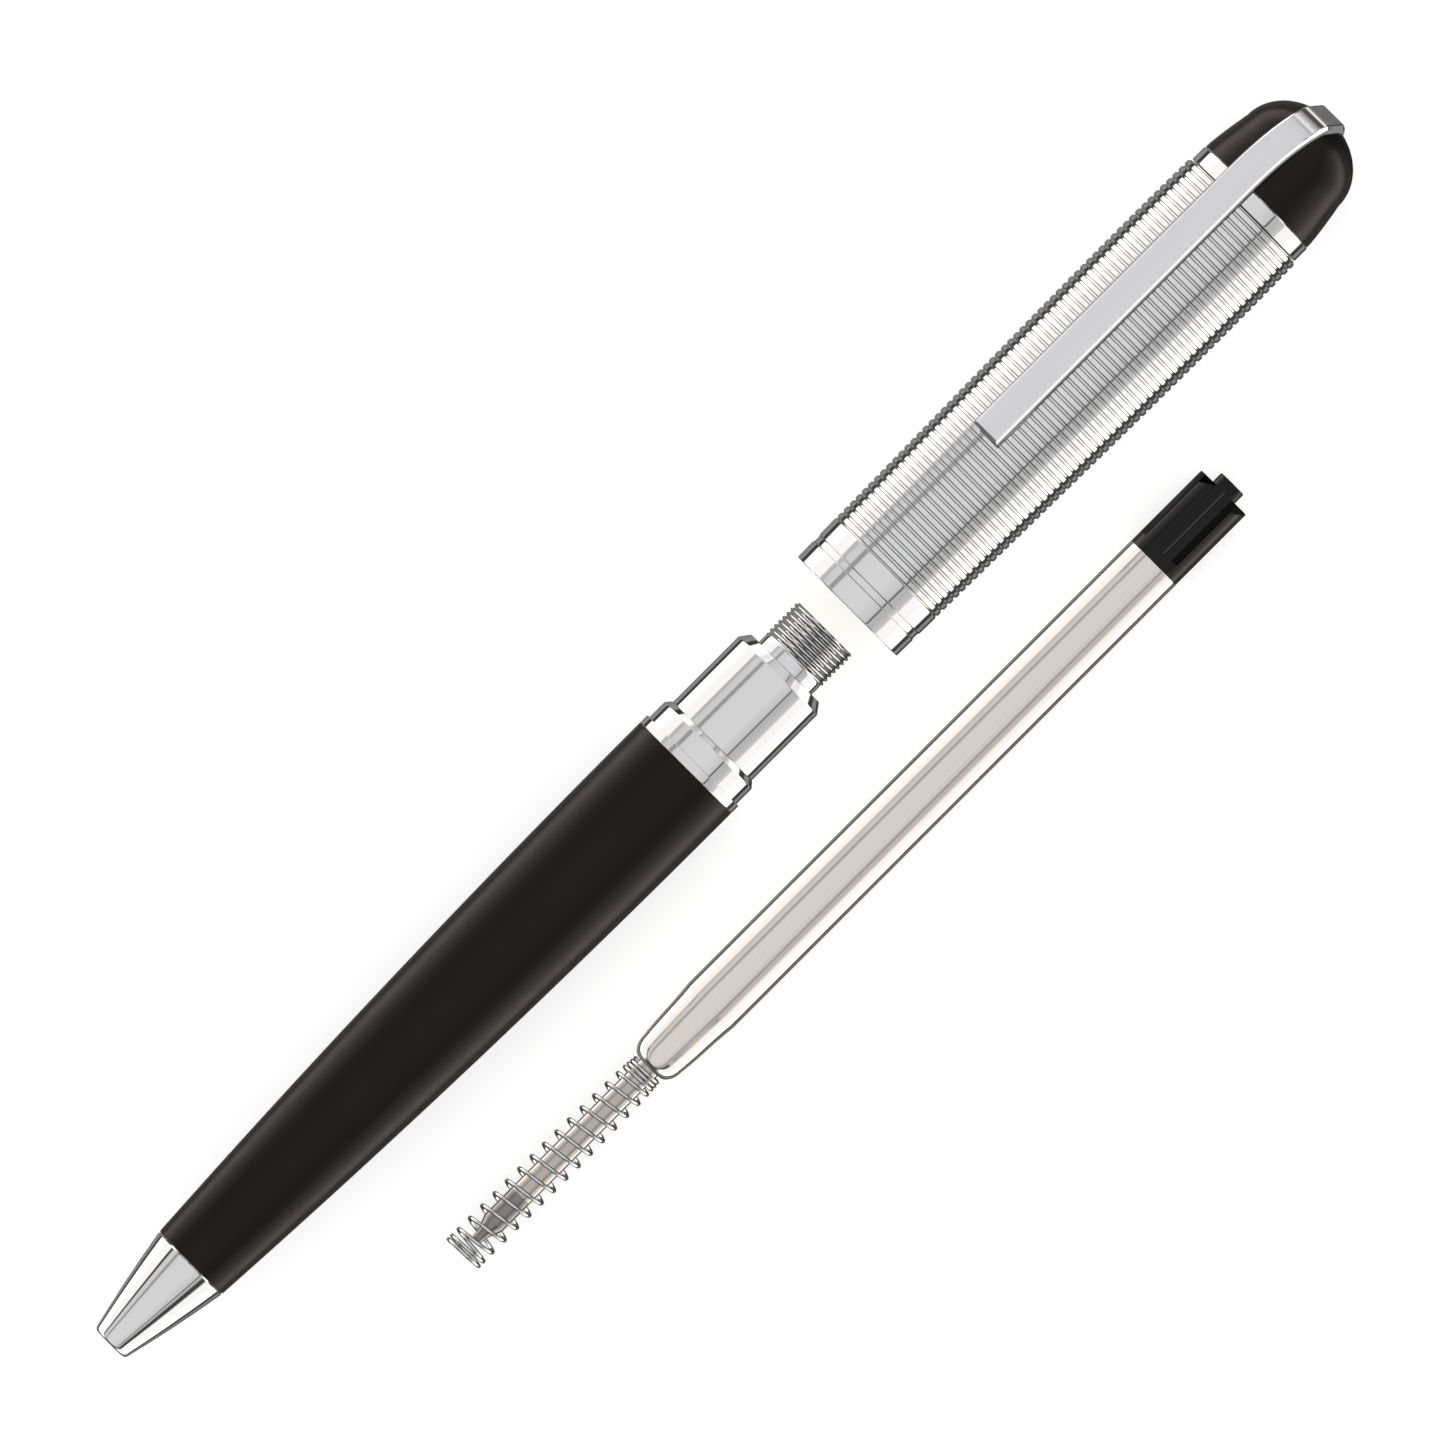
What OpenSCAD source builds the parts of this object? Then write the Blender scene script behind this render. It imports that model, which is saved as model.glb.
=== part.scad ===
// Twist-action ballpoint pen, laid out taken apart: front barrel, rear barrel, and refill with its spring.
// The pen lies along X with its nose at -X. The refill lies beside it, towards -Y. The rear barrel rests
// on Z = 0. Screwed together, it stands close_travel nearer to the nose than it is drawn here.

/* [Layout] */
// X of the nose's front face
nose_x = -79.2; // [-79.5:0.1:-79]
// How far the rear barrel stands off its closed place
close_travel = 17.3; // [15:0.1:30]
// Distance between the pen's axis and the refill's axis
refill_gap = 17; // [14:0.5:30]
// Angle of the clip round from the top, towards +Y
clip_angle = 16.5; // [0:0.5:45]

/* [Front barrel] */
// Length of the nose cone that shows
nose_len = 10.5; // [9:0.1:12]
// Radius of the nose cone at its front
nose_tip_r = 2; // [1.9:0.05:2.3]
// Radius where the nose cone meets the front barrel
nose_base_r = 4.05; // [4:0.05:4.3]
// Radius of the hole that the refill's neck comes out of
tip_bore_r = 1.25; // [1.2:0.05:1.4]
// Length of the lacquered front barrel
front_len = 63.9; // [60:0.1:70]
// Radius of the front barrel at its rear end
front_r = 5.88; // [5.8:0.02:6]
// Length of the trim ring's flange
flange_len = 0.95; // [0.6:0.05:1.2]
// Length of the trim ring's band, with its chamfer
band_len = 2.5; // [2:0.1:3]
// Radius of the trim ring's band
band_r = 5.62; // [5.4:0.02:5.7]

/* [Screw joint] */
// Radius of the sleeve that the rear barrel turns on
sleeve_r = 5.08; // [5:0.02:5.1]
// Length of that sleeve
sleeve_len = 9.4; // [8:0.1:11]
// Crest radius of the screw thread
thread_r = 3.55; // [3.5:0.01:3.6]
// Depth of the screw thread
thread_depth = 0.25; // [0.2:0.01:0.3]
// Pitch of the screw thread
thread_pitch = 0.53; // [0.5:0.01:0.6]
// Length of the threaded stretch
thread_len = 4.2; // [4:0.1:5]
// Radius of the bore that the refill passes through
refill_bore_r = 3; // [2.98:0.01:3.05]

/* [Rear barrel] */
// Length of the ribbed rear barrel
rear_len = 51.05; // [50:0.05:52]
// Radius of the rear barrel at its open end
rear_open_r = 6.39; // [6.3:0.01:6.5]
// Length of the plain band at the open end
plain_len = 5.05; // [4:0.05:6]
// Number of ribs
rib_count = 58; // [50:1:64]
// Depth of the grooves between the ribs
rib_depth = 0.16; // [0.1:0.01:0.2]
// Length of the cap ring
ring_len = 1.7; // [1.5:0.05:2]
// Radius of the cap ring
ring_r = 6.6; // [6.55:0.01:6.7]
// Length of the domed finial
dome_len = 9.8; // [9.6:0.05:10]

/* [Clip] */
// Width of the clip's strip
clip_w = 3.1; // [2.6:0.1:3.4]
// Thickness of the clip's strip
clip_t = 0.9; // [0.8:0.05:1]
// Length of the clip's straight stretch
clip_len = 33; // [30:0.5:36]

/* [Twist mechanism] */
// How far a twist pushes the refill forward
stroke = 4.2; // [3.5:0.1:4.5]
// How far the rear barrel twists, in degrees
twist_angle = 120; // [100:5:140]
// Radius of the cross pin
pin_r = 0.6; // [0.5:0.05:0.7]
// Radius of the bore that the refill's rear end and the plunger share
coupler_bore_r = 3.1; // [3.08:0.01:3.15]

/* [Refill] */
// Length of the refill from its ball to the end of its plug
refill_len = 98.1; // [97.5:0.1:98.5]
// Radius of the refill's body
refill_r = 2.9; // [2.85:0.01:2.95]
// Radius of the refill's neck
neck_r = 1.13; // [1.1:0.01:1.15]
// Radius of the writing ball
ball_r = 0.4; // [0.35:0.05:0.45]
// Radius of the rear plug
plug_r = 2.88; // [2.8:0.01:2.88]

/* [Spring] */
// Radius of the spring's wire
wire_r = 0.19; // [0.15:0.01:0.2]
// Outer radius of the spring at its front end
spring_front_r = 2.05; // [1.9:0.05:2.1]
// Outer radius of the spring at its rear end
spring_rear_r = 1.68; // [1.6:0.01:1.9]
// Turns that lie close together at the front
front_turns = 1.5; // [1:0.5:3]
// Open turns
open_turns = 13.25; // [11:0.25:15]
// Turns that lie close together at the rear
rear_turns = 4.5; // [3:0.5:5]

/* [Hidden] */
$fn = 96;

running = 0.06;                                  // radial clearance of parts that turn or slide
over = 1;                                        // how far a cutter runs past the face that it opens

// Places along X, front barrel
front_x = nose_x + nose_len;
flange_x = front_x + front_len;
band_x = flange_x + flange_len;
sleeve_x = band_x + band_len;
neck_x = sleeve_x + sleeve_len;
neck_len = 0.95;
thread_x = neck_x + neck_len;
thread_end_x = thread_x + thread_len;
bush_r = thread_r - 0.14;                        // outside of the threaded bush ahead of its thread

// Inside the front barrel
spring_seat_x = nose_x + 3.7;
spring_bore_r = 2.2;
nose_spigot_end_x = front_x + 6;
nose_spigot_r = 3.4;
liner_x = nose_spigot_end_x + 0.2;
liner_r = 3.8;
liner_bore_r = 3.2;
spigot_r = 4.4;
spigot_x = flange_x - 7.2;

// Places along X, rear barrel
rear_x = sleeve_x + 0.1 + close_travel;
rear_end_x = rear_x + rear_len;
ring_gap = 0.15;
ring_x = rear_end_x + ring_gap;
dome_x = ring_x + ring_len;
dome_end_x = dome_x + dome_len;
dome_nose_len = 5;                               // the elliptical end of the dome
dome_nose_r = 5.9;
rear_bore_r = 5.75;
rear_liner_bore_r = 5.15;
guide_x = rear_x + 0.25;
guide_len = 10;
crimp_x = 2.05;                                  // groove in the plain band, from the open end
crimp_len = 0.82;
crimp_depth = 0.1;
screw_r = 1.5;
screw_seat_x = ring_x - 6.75;                    // where the screw's head seats on the cap bush
screw_hole_end_x = dome_x + 6.5;

// Twist mechanism
coupler_x = neck_x + 0.17 + close_travel;
coupler_front_len = 5.7;
coupler_len = 25.7;
coupler_r = 4.6;
end_play = 0.15;
cam_x = coupler_x + coupler_front_len + end_play;
cam_len = 18.3;
retaining_x = cam_x + cam_len + end_play;
retaining_groove_w = 0.5;
retaining_groove_r = coupler_r - 0.4;
plunger_len = 8;
plunger_x = nose_x + 1.2 + refill_len + 0.1 + close_travel;
pin_x = plunger_x + 4.5;

// Clip path: straight over the barrel, an ellipse over the dome, then a steep end plate
bend_x = nose_x + 148.2;                         // middle of the ellipse
bend_a = 10.7;                                   // half its size along X
bend_b = 8.3;                                    // half its size across: how far out the clip's face stands
crease_angle = 33.4;                             // where the ellipse gives way to the end plate
clip_end_r = -0.55;                              // the end plate stops just past the axis
clip_slack = 0.12;
clip_end_slack = 0.3;
clip_end_inset = 0.3;                            // how far the end plate leans in at its lower end
tab_len = 1.2;

// Refill
plug_front_x = 38.7;
plug_nub_len = 1.15;
ball_x = nose_x + 30.05 + ball_r;
plug_end_x = ball_x - ball_r + refill_len;
shoulder_x = ball_x + 22.15;
point_x = ball_x + 5.55;
quarters = 4;                                    // the plug's flutes and teeth repeat each quarter turn

neck_bore_r = 0.75;
neck_spigot_len = 2;                             // how far the neck reaches into the body
point_spigot_len = 3;                            // how far the point holder reaches into the neck
refill_wall = 0.28;
ink_r = 2.5;
ink_end_x = plug_front_x - 10;

// Curves of the two barrels
front_curve = 2.1;
rear_slope = 0.0152;
rear_draw = 0.345;
rear_curve = 6;

// Heights and sideways places: the layout's box is centred on Y = 0
rib_pitch = (rear_len - plain_len) / rib_count;
rear_max_r = max([for (i = [0:rib_count - 1]) rear_profile(plain_len + (i + 0.5) * rib_pitch)]);
pen_y = (refill_gap + refill_r - rear_max_r) / 2;
refill_y = pen_y - refill_gap;

// Radius of the front barrel at distance d from its front end
function front_profile(d) =
    front_r - (front_r - nose_base_r) * pow(1 - d / front_len, front_curve);

// Radius of the rear barrel's ribs at distance d from its open end: it widens evenly, then draws in
function rear_profile(d) =
    rear_open_r + rear_slope * d - rear_draw * pow(d / rear_len, rear_curve);

// Outline of the clip at a distance below its outer face, down to end_r, as [x, distance from the pen's axis]
function clip_line(depth, end_r) = concat(
    [[bend_x - clip_len, bend_b - depth]],
    [for (i = [0:10]) let (a = 90 + (crease_angle - 90) * i / 10)
        [bend_x + (bend_a - depth) * cos(a), (bend_b - depth) * sin(a)]],
    [for (p = [[0.03, 1.3], [0, 0.9], [0.07, 0.2], [clip_end_inset, end_r]])
        [-nose_x - p[0] - depth, p[1]]]);
function reversed(list) = [for (i = [len(list) - 1:-1:0]) list[i]];

// Turns an outline of [x, radius] points about the pen's axis
module lathe(points) {
    rotate([0, 90, 0]) rotate_extrude() polygon([for (p = points) [p[1], p[0]]]);
}

// Cylinder along X from x0 to x1
module rod(x0, x1, r) {
    translate([x0, 0, 0]) rotate([0, 90, 0]) cylinder(h = x1 - x0, r = r);
}

// Tube along X from x0 to x1
module tube(x0, x1, outer, inner) {
    difference() {
        rod(x0, x1, outer);
        rod(x0 - over, x1 + over, inner);
    }
}

module on_pen_axis() {
    translate([0, pen_y, rear_max_r]) children();
}

module on_refill_axis() {
    translate([0, refill_y, refill_r]) children();
}

module at_clip_angle() {
    rotate([-clip_angle, 0, 0]) children();
}

// ---- Front barrel ----

module nose_cone() {
    edge = 0.45;
    steps = 8;
    bulge = 0.1;
    color("gainsboro") on_pen_axis() difference() {
        lathe(concat(
            [[nose_x, 0], [nose_x, nose_tip_r - edge], [nose_x + 0.13, nose_tip_r - 0.17]],
            [for (i = [0:steps]) let (t = i / steps)
                [nose_x + edge + (nose_len - edge) * t,
                 nose_tip_r + (nose_base_r - nose_tip_r) * t + bulge * 4 * t * (1 - t)]],
            [[front_x, nose_spigot_r], [nose_spigot_end_x, nose_spigot_r], [nose_spigot_end_x, 0]]));
        rod(nose_x - over, nose_spigot_end_x + over, tip_bore_r);
        rod(spring_seat_x, nose_spigot_end_x + over, spring_bore_r);
    }
}

module front_barrel() {
    steps = 20;
    color([0.08, 0.08, 0.08]) on_pen_axis() difference() {
        lathe(concat(
            [[front_x, 0]],
            [for (i = [0:steps]) [front_x + front_len * i / steps, front_profile(front_len * i / steps)]],
            [[flange_x, 0]]));
        rod(front_x - over, flange_x + over, nose_spigot_r);
        rod(liner_x, flange_x + over, liner_r);
        rod(spigot_x, flange_x + over, spigot_r);
    }
}

module barrel_liner() {
    color("goldenrod") on_pen_axis() tube(liner_x, spigot_x - 0.1, liner_r, liner_bore_r);
}

module trim_ring() {
    chamfer = 0.5;
    edge = 0.08;
    color("gainsboro") on_pen_axis() lathe([
        [flange_x, spigot_r], [flange_x, front_r - edge], [flange_x + edge, front_r],
        [band_x - edge, front_r], [band_x, front_r - edge], [band_x, band_r],
        [sleeve_x - chamfer, band_r], [sleeve_x, sleeve_r + edge], [sleeve_x, spigot_r]]);
}

module turning_sleeve() {
    chamfer_len = 0.95;
    chamfer_r = 4.36;
    color("gainsboro") on_pen_axis() lathe([
        [spigot_x, bush_r], [spigot_x, spigot_r], [sleeve_x, spigot_r], [sleeve_x, sleeve_r],
        [neck_x - chamfer_len, sleeve_r], [neck_x, chamfer_r], [neck_x, bush_r]]);
}

module threaded_bush() {
    root = thread_r - thread_depth;
    run_in = 0.1;
    turns = floor(thread_len / thread_pitch);
    color("silver") on_pen_axis() lathe(concat(
        [[spigot_x, refill_bore_r], [spigot_x, bush_r], [thread_x, bush_r]],
        [for (i = [0:turns - 1]) let (x = thread_x + run_in + i * thread_pitch)
            each [[x, root], [x + thread_pitch * 0.45, thread_r], [x + thread_pitch * 0.55, thread_r]]],
        [[thread_end_x, root], [thread_end_x, refill_bore_r]]));
}

// ---- Twist mechanism ----

module coupler() {
    thread_turns = 8;
    groove_depth = 0.2;
    relief = 0.5;
    slot_slack = 0.1;
    color("goldenrod") on_pen_axis() difference() {
        union() {
            rod(coupler_x, coupler_x + coupler_front_len, rear_liner_bore_r - running);
            rod(coupler_x, coupler_x + coupler_len, coupler_r);
        }
        rod(coupler_x - over, coupler_x + coupler_len + over, coupler_bore_r);
        // Internal thread
        rod(coupler_x - over, thread_end_x + close_travel + relief, thread_r + running);
        for (i = [0:thread_turns - 1]) let (x = coupler_x + 0.6 + i * thread_pitch)
            rod(x, x + thread_pitch / 2, thread_r + running + groove_depth);
        // Seat of the retaining ring
        tube(retaining_x, retaining_x + retaining_groove_w, coupler_r + over, retaining_groove_r);
        // Straight slots that keep the cross pin from turning
        translate([pin_x - stroke - pin_r - slot_slack, -coupler_r - over, -pin_r - running])
            cube([stroke + 2 * (pin_r + slot_slack), 2 * (coupler_r + over), 2 * (pin_r + running)]);
    }
}

module retaining_ring() {
    gap = 3;
    slack = 0.05;
    proud = 0.45;
    color("dimgray") on_pen_axis() difference() {
        tube(retaining_x + slack, retaining_x + retaining_groove_w - slack, coupler_r + proud,
            retaining_groove_r);
        translate([retaining_x - over, -gap / 2, 0])
            cube([retaining_groove_w + 2 * over, gap, 2 * coupler_r]);
    }
}

module plunger() {
    r = coupler_bore_r - running;
    chamfer = 0.3;
    color("ivory") on_pen_axis() difference() {
        lathe([[plunger_x, 0], [plunger_x, r - chamfer], [plunger_x + chamfer, r],
            [plunger_x + plunger_len, r], [plunger_x + plunger_len, 0]]);
        cross_rod(4 * r);
    }
}

module cross_rod(length) {
    translate([pin_x, 0, 0]) rotate([90, 0, 0]) cylinder(h = length, r = pin_r, center = true);
}

module cross_pin() {
    color("silver") on_pen_axis() cross_rod(2 * (rear_liner_bore_r - 0.1));
}

module cam_sleeve() {
    step = 5;
    slot_r = pin_r + 0.12;
    inner_r = coupler_r + running;
    color("peru") on_pen_axis() difference() {
        tube(cam_x, cam_x + cam_len, rear_liner_bore_r, inner_r);
        // Two helical slots: as the sleeve turns, they draw the cross pin forward
        for (side = [0, 180], turn = [0:step:twist_angle])
            translate([pin_x - stroke * turn / twist_angle, 0, 0]) rotate([side - turn, 0, 0])
                rotate([-90, 0, 0]) translate([0, 0, inner_r / 2]) cylinder(h = inner_r, r = slot_r);
    }
}

// ---- Rear barrel ----

module rear_barrel() {
    edge = 0.06;
    crimp_edge = 0.08;
    color("silver") on_pen_axis() difference() {
        lathe(concat(
            [[rear_x, 0], [rear_x, rear_open_r - edge], [rear_x + edge, rear_open_r],
             [rear_x + crimp_x, rear_profile(crimp_x)],
             [rear_x + crimp_x + crimp_edge, rear_profile(crimp_x) - crimp_depth],
             [rear_x + crimp_x + crimp_len - crimp_edge, rear_profile(crimp_x) - crimp_depth],
             [rear_x + crimp_x + crimp_len, rear_profile(crimp_x + crimp_len)]],
            [for (i = [0:rib_count - 1])
                let (d = plain_len + i * rib_pitch, x = rear_x + d, r = rear_profile(d + rib_pitch / 2))
                each [[x, r - rib_depth], [x + 0.2 * rib_pitch, r - rib_depth * 0.2],
                      [x + 0.5 * rib_pitch, r], [x + 0.8 * rib_pitch, r - rib_depth * 0.2]]],
            [[rear_end_x, rear_profile(rear_len) - rib_depth], [rear_end_x, 0]]));
        rod(rear_x - over, rear_end_x + over, rear_bore_r);
    }
}

module guide_bush() {
    color("goldenrod") on_pen_axis() tube(guide_x, guide_x + guide_len, rear_bore_r, rear_liner_bore_r);
}

module rear_liner() {
    color("goldenrod") on_pen_axis()
        tube(guide_x + guide_len + 0.2, ring_x, rear_bore_r, rear_liner_bore_r);
}

module cap_bush() {
    color("goldenrod") on_pen_axis() tube(screw_seat_x, ring_x, rear_liner_bore_r, screw_r);
}

module cap_ring() {
    edge = 0.12;
    color("gainsboro") on_pen_axis() lathe([
        [ring_x, screw_r], [ring_x, ring_r - edge], [ring_x + edge, ring_r],
        [dome_x - edge, ring_r], [dome_x, ring_r - edge], [dome_x, screw_r]]);
}

module finial() {
    taper_steps = 5;
    round_steps = 14;
    taper_len = dome_len - dome_nose_len;
    base_r = ring_r - 0.06;
    color([0.1, 0.09, 0.09]) on_pen_axis() difference() {
        lathe(concat(
            [[dome_x, 0]],
            [for (i = [0:taper_steps]) let (t = i / taper_steps)
                [dome_x + taper_len * t, base_r + (dome_nose_r - base_r) * pow(t, 1.35)]],
            [for (i = [1:round_steps]) let (a = 90 * i / round_steps)
                [dome_x + taper_len + dome_nose_len * sin(a), dome_nose_r * cos(a)]]));
        rod(dome_x - over, screw_hole_end_x, screw_r);
        at_clip_angle() {
            strip(clip_t + 2 * clip_slack, -clip_slack, clip_w + 2 * clip_slack,
                clip_end_r - clip_end_slack);
            clip_tab(clip_slack);
        }
    }
}

module finial_screw() {
    head_len = 1.25;
    head_r = 2.6;
    slot_w = 0.6;
    slot_depth = 0.6;
    color("dimgray") on_pen_axis() difference() {
        union() {
            rod(screw_seat_x, screw_hole_end_x - 0.2, screw_r);
            rod(screw_seat_x - head_len, screw_seat_x, head_r);
        }
        translate([screw_seat_x - head_len - over, -2 * head_r, -slot_w / 2])
            cube([over + slot_depth, 4 * head_r, slot_w]);
    }
}

// Strip of the clip's shape: thickness, depth of its outer face below the clip's, width, and where it ends
module strip(thickness, depth, width, end_r) {
    rotate([90, 0, 0]) linear_extrude(height = width, center = true)
        polygon(concat(clip_line(depth, end_r), reversed(clip_line(depth + thickness, end_r))));
}

// Tab at the end of the clip, let into the finial's end
module clip_tab(slack) {
    end_x = -nose_x - clip_end_inset - clip_t;
    rooted = 0.5;
    translate([end_x - tab_len - slack, -clip_w / 2 - slack, clip_end_r - slack])
        cube([tab_len + rooted + slack, clip_w + 2 * slack, clip_t + 2 * slack]);
}

module clip() {
    foot_x = bend_x - clip_len + 2.8;
    foot_half = 2.1;
    foot_gap = 0.05;
    foot_end_r = rear_profile(foot_x - rear_x) + foot_gap;
    foot_h = bend_b - clip_t - foot_end_r;
    arc_r = (foot_half * foot_half + foot_h * foot_h) / (2 * foot_h);
    color("silver") on_pen_axis() at_clip_angle() {
        strip(clip_t, 0, clip_w, clip_end_r);
        clip_tab(0);
        // Rounded foot that grips the pocket
        intersection() {
            translate([foot_x, 0, foot_end_r + arc_r]) rotate([90, 0, 0])
                cylinder(h = clip_w, r = arc_r, center = true);
            translate([foot_x - foot_half, -clip_w, foot_end_r - over])
                cube([2 * foot_half, 2 * clip_w, foot_h + over + 0.2]);
        }
    }
}

// ---- Refill ----

module refill_body() {
    round_len = 1.75;
    round_r = 2.42;
    round_x = shoulder_x + round_len;
    taper_x = round_x + 6.3;
    inner_r = refill_r - refill_wall;
    base_r = neck_r + 0.12;
    steps = 8;
    color("lightgray") on_refill_axis() lathe(concat(
        [[shoulder_x, neck_r]],
        [for (i = [0:steps]) let (a = 90 * i / steps)
            [shoulder_x + 0.05 + round_len * (1 - cos(a)), base_r + (round_r - base_r) * sin(a)]],
        [[taper_x, refill_r], [plug_front_x, refill_r], [plug_front_x, inner_r],
         [taper_x, inner_r], [round_x + 1, round_r - refill_wall], [round_x + 0.2, neck_r]]));
}

module refill_neck() {
    color("lightgray") on_refill_axis() tube(point_x, shoulder_x + neck_spigot_len, neck_r, neck_bore_r);
}

module point_holder() {
    cone_x = ball_x + 2.05;
    socket_r = ball_r + 0.02;
    channel_r = 0.2;
    lip_a = 118;
    seat_a = asin(channel_r / socket_r);
    steps = 10;
    color("gray") on_refill_axis() lathe(concat(
        [[ball_x + socket_r * cos(lip_a), 0.44], [ball_x - 0.05, 0.5], [ball_x + 0.65, 0.58],
         [cone_x, neck_r], [point_x, neck_r], [point_x, neck_bore_r],
         [point_x + point_spigot_len, neck_bore_r], [point_x + point_spigot_len, channel_r]],
        // Socket that the ball turns in
        [for (i = [0:steps]) let (a = seat_a + (lip_a - seat_a) * i / steps)
            [ball_x + socket_r * cos(a), socket_r * sin(a)]]));
}

module writing_ball() {
    color("silver") on_refill_axis() translate([ball_x, 0, 0]) sphere(r = ball_r);
}

module ink_column() {
    ink_shoulder_len = 10.5;
    color("midnightblue") on_refill_axis() lathe([
        [point_x + point_spigot_len, 0], [point_x + point_spigot_len, neck_bore_r],
        [shoulder_x + neck_spigot_len, neck_bore_r], [shoulder_x + ink_shoulder_len, ink_r],
        [ink_end_x, ink_r], [ink_end_x, 0]]);
}

module refill_plug() {
    body_end_x = plug_end_x - plug_nub_len;
    nub_r = 1.43;
    flute_x = plug_front_x + 1.25;
    flute_w = 1.72;
    flute_floor_z = 0.9;
    tooth_depth = 1.1;
    tooth_w = 1.75;
    tooth_y = 0.8;
    color([0.1, 0.1, 0.1]) on_refill_axis() {
        difference() {
            union() {
                rod(plug_front_x - 5, plug_front_x, refill_r - refill_wall);
                rod(plug_front_x, body_end_x, plug_r);
            }
            for (i = [0:quarters - 1]) rotate([90 * i, 0, 0]) {
                // Flute: a gentle slope from its ridge, a steep drop, and an upright wall
                translate([flute_x, 0, 0]) rotate([90, 0, 90]) linear_extrude(height = 20) polygon([
                    [0, plug_r], [-0.95, 2.4], [0.04 - flute_w, flute_floor_z],
                    [-flute_w, flute_floor_z], [-flute_w, 2 * plug_r], [0, 2 * plug_r]]);
                // Ramp of a tooth
                translate([0, 0, nub_r + 0.1]) linear_extrude(height = plug_r) polygon([
                    [body_end_x + over, tooth_y - tooth_w / tooth_depth],
                    [body_end_x - tooth_depth, tooth_y + tooth_w], [body_end_x + over, tooth_y + tooth_w]]);
            }
        }
        rod(body_end_x - 2, plug_end_x, nub_r);
    }
}

// ---- Spring ----

closed_pitch = 2.15 * wire_r;
spring_front_x = ball_x - ball_r - 1.75;
spring_turns = front_turns + open_turns + rear_turns;
open_pitch = (shoulder_x - spring_front_x - 2 * wire_r
    - (front_turns + rear_turns) * closed_pitch) / open_turns;

// X of the wire's centre after t turns, from the front end
function coil_x(t) = spring_front_x + wire_r + closed_pitch * min(t, front_turns)
    + open_pitch * min(max(t - front_turns, 0), open_turns)
    + closed_pitch * max(t - front_turns - open_turns, 0);

// Radius of the coil at a share of its turns: even at the front, then narrowing to the rear
function coil_radius(share) = spring_front_r - wire_r
    - (spring_front_r - spring_rear_r) * pow(max(share - 0.5, 0) * 2, 1.2);

module spring() {
    sides = 6;
    per_turn = 12;
    rings = round(spring_turns * per_turn);
    points = [for (i = [0:rings], k = [0:sides - 1]) let (
            t = i / per_turn, a = 360 * t, b = 360 * k / sides,
            coil_r = coil_radius(t / spring_turns),
            r = coil_r + wire_r * cos(b))
        [coil_x(t) + wire_r * sin(b), r * cos(a), r * sin(a)]];
    walls = [for (i = [0:rings - 1], k = [0:sides - 1]) let (n = (k + 1) % sides)
        [i * sides + k, i * sides + n, (i + 1) * sides + n, (i + 1) * sides + k]];
    color("silver") on_refill_axis() polyhedron(points, concat(
        [[for (k = [sides - 1:-1:0]) k]], walls, [[for (k = [0:sides - 1]) rings * sides + k]]));
}

nose_cone();
front_barrel();
barrel_liner();
trim_ring();
turning_sleeve();
threaded_bush();
coupler();
retaining_ring();
plunger();
cross_pin();
rear_barrel();
guide_bush();
rear_liner();
cam_sleeve();
cap_bush();
cap_ring();
finial();
finial_screw();
clip();
refill_body();
refill_neck();
point_holder();
ink_column();
refill_plug();
writing_ball();
spring();
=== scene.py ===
"""Twist-action ballpoint pen, laid out taken apart: detailed pieces, finishes, studio light and camera.

Lengths are in millimetres until a mesh is made. The pen lies along X with its nose at -X.
"""

import math

import bmesh
import bpy
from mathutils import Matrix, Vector


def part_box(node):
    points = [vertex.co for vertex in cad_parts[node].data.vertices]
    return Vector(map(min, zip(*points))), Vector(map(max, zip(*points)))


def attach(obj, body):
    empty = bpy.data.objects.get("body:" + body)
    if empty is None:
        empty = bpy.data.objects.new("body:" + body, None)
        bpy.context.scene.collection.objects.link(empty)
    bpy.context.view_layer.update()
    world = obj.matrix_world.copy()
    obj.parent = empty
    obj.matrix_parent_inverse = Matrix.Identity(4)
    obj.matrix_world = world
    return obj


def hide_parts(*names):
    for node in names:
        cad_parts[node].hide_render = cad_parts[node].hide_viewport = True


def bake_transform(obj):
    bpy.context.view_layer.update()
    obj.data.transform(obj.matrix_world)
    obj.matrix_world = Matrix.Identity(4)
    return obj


MM = 0.001

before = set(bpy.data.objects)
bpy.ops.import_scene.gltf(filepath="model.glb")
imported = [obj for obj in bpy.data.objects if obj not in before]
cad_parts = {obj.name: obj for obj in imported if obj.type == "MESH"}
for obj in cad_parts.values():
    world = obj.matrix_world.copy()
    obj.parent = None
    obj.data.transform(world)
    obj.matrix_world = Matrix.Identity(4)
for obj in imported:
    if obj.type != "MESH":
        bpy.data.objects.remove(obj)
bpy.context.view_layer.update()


# ---- Places taken from the frame ----


def span(node):
    """Where a CAD node starts and ends along X."""
    low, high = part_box(node)
    return low.x / MM, high.x / MM


def axis_of(node):
    """Y and Z of the axis that a CAD node is turned about."""
    low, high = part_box(node)
    return (low.y + high.y) / 2 / MM, (low.z + high.z) / 2 / MM


PEN = axis_of("rear_barrel")
REFILL = axis_of("refill_body")

NOSE_X, NOSE_SPIGOT_X = span("nose_cone")
FRONT_X, FLANGE_X = span("front_barrel")
SLEEVE_X = span("trim_ring")[1]
SPIGOT_X, NECK_X = span("turning_sleeve")
THREAD_END_X = span("threaded_bush")[1]
REAR_X, REAR_END_X = span("rear_barrel")
GUIDE_X, GUIDE_END_X = span("guide_bush")
LINER_X, RING_X = span("rear_liner")
DOME_X, DOME_END_X = span("finial")
CLIP_X, CLIP_END_X = span("clip")
SHOULDER_X, PLUG_X = span("refill_body")
POINT_X = span("refill_neck")[0]
PLUG_END_X = span("refill_plug")[1]
BALL_X, BALL_END_X = span("writing_ball")
COIL_X, COIL_END_X = span("spring")


# ---- Shader nodes ----


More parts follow.
